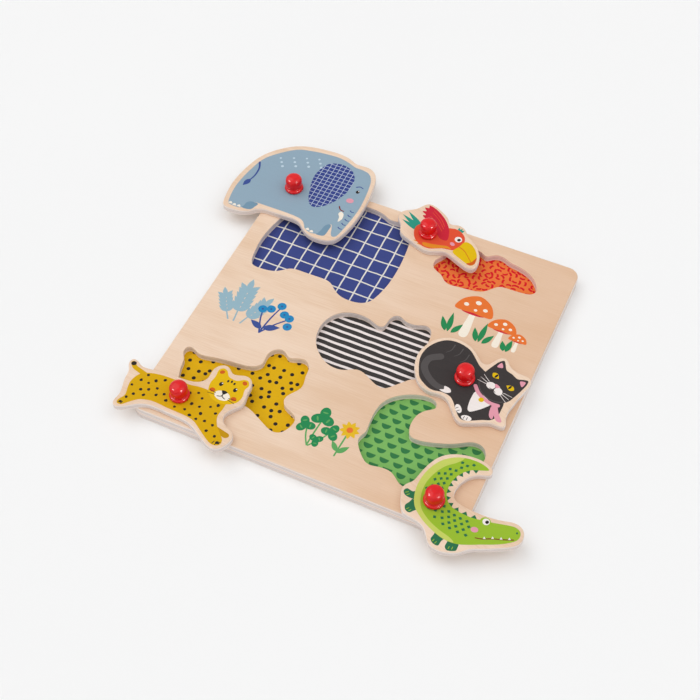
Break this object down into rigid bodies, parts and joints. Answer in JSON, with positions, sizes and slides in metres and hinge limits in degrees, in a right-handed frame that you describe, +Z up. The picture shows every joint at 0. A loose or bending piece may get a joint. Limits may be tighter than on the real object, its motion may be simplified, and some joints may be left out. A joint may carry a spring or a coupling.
{
  "type": "peg puzzle",
  "caption": "Square wooden peg puzzle: a board with animal-shaped wells and knobbed animal pieces that lift off it.",
  "frame": {"origin": "middle of the board's underside", "axes": "+X along the board's front edge to the right, +Y to the back edge, +Z up out of the wells"},
  "size_m": [0.3467, 0.3247, 0.0325],
  "materials": {
    "board_wood": "plywood, fine sanded, satin clear lacquer",
    "elephant_print": "plywood with a matt printed face and a bare wood margin",
    "bird_print": "plywood with a matt printed face and a bare wood margin",
    "cat_print": "plywood with a matt printed face and a bare wood margin",
    "leopard_print": "plywood with a matt printed face and a bare wood margin",
    "crocodile_print": "plywood with a matt printed face and a bare wood margin",
    "knob_lacquer": "turned wood, glossy red lacquer",
    "screw_steel": "zinc plated"
  },
  "bodies": {
    "board": {"backing_board": "board_wood", "top_panel": "board_wood"},
    "elephant": {"elephant_piece": "elephant_print", "elephant_knob": "knob_lacquer", "elephant_screw": "screw_steel"},
    "bird": {"bird_piece": "bird_print", "bird_knob": "knob_lacquer", "bird_screw": "screw_steel"},
    "cat": {"cat_piece": "cat_print", "cat_knob": "knob_lacquer", "cat_screw": "screw_steel"},
    "leopard": {"leopard_piece": "leopard_print", "leopard_knob": "knob_lacquer", "leopard_screw": "screw_steel"},
    "crocodile": {"crocodile_piece": "crocodile_print", "crocodile_knob": "knob_lacquer", "crocodile_screw": "screw_steel"}
  },
  "joints": [
    {"name": "elephant_lift", "type": "slide", "parent": "board", "child": "elephant", "axis": [0, 0, 1], "range_m": [0, 0.05]},
    {"name": "bird_lift", "type": "slide", "parent": "board", "child": "bird", "axis": [0, 0, 1], "range_m": [0, 0.05]},
    {"name": "cat_lift", "type": "slide", "parent": "board", "child": "cat", "axis": [0, 0, 1], "range_m": [0, 0.05]},
    {"name": "leopard_lift", "type": "slide", "parent": "board", "child": "leopard", "axis": [0, 0, 1], "range_m": [0, 0.05]},
    {"name": "crocodile_lift", "type": "slide", "parent": "board", "child": "crocodile", "axis": [0, 0, 1], "range_m": [0, 0.05]}
  ]
}
